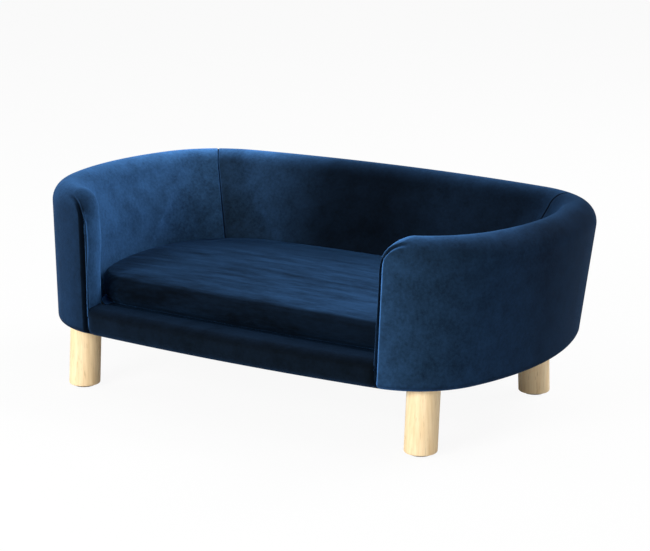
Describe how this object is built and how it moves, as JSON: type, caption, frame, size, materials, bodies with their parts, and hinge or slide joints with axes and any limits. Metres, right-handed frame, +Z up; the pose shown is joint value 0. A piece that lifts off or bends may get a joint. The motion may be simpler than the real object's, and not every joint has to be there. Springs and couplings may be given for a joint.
{
  "type": "dog sofa bed",
  "caption": "Low upholstered dog sofa bed: a padded velvet wall round three sides, a lift-out seat cushion and short round wooden legs.",
  "frame": {"origin": "on the floor, in the middle of the bounding box", "axes": "+X along the sofa, to the right of someone who looks at its open front; the open front faces -Y; +Z up"},
  "size_m": [0.703, 0.4388, 0.2623],
  "materials": {
    "velvet": "deep blue cut-pile velvet with a soft sheen",
    "lining_cloth": "black non-woven lining",
    "foam": null,
    "leg_wood": "pale beech with a thin clear coat",
    "plywood": "bare birch plywood",
    "frame_wood": "bare pine",
    "hardboard": "brown hardboard",
    "zinc_steel": "zinc-plated steel",
    "black_plastic": "black moulded plastic",
    "zip_tape": "woven zip tape, dark blue",
    "zip_plastic": "nylon zip coil, dark blue",
    "zip_metal": "painted die-cast slider, dark blue"
  },
  "bodies": {
    "sofa": {"wall_cover_left": "velvet", "wall_cover_back": "velvet", "wall_cover_right": "velvet", "arm_facing_left": "velvet", "arm_facing_right": "velvet", "front_cover": "velvet", "deck_cloth": "lining_cloth", "dust_cover": "lining_cloth", "wall_foam_left": "foam", "wall_foam_back": "foam", "wall_foam_right": "foam", "front_foam": "foam", "deck_foam": "foam", "leg_front_left": "leg_wood", "leg_front_right": "leg_wood", "leg_rear_left": "leg_wood", "leg_rear_right": "leg_wood", "base_board": "plywood", "top_rail_left": "plywood", "top_rail_back": "plywood", "top_rail_right": "plywood", "front_rail": "frame_wood", "arm_post_left": "frame_wood", "arm_post_right": "frame_wood", "side_post_left": "frame_wood", "side_post_right": "frame_wood", "corner_post_left": "frame_wood", "corner_post_right": "frame_wood", "back_post": "frame_wood", "outer_panel": "hardboard", "inner_panel_left": "hardboard", "inner_panel_back": "hardboard", "inner_panel_right": "hardboard", "hanger_bolts": "zinc_steel", "tee_nuts": "zinc_steel", "base_screws": "zinc_steel", "rail_screws": "zinc_steel", "staples": "zinc_steel", "foot_glide_front_left": "black_plastic", "foot_glide_front_right": "black_plastic", "foot_glide_rear_left": "black_plastic", "foot_glide_rear_right": "black_plastic"},
    "cushion": {"cushion_cover": "velvet", "cushion_foam": "foam", "zip_tape": "zip_tape", "zip_coil": "zip_plastic", "zip_stops": "zip_plastic"},
    "zip_slider": {"zip_slider": "zip_metal"}
  },
  "joints": [
    {"name": "cushion_lift", "type": "slide", "parent": "sofa", "child": "cushion", "axis": [0, 0, 1], "range_m": [0, 0.2]},
    {"name": "zip_slide", "type": "slide", "parent": "cushion", "child": "zip_slider", "axis": [1, 0, 0], "range_m": [0, 0.28]}
  ]
}
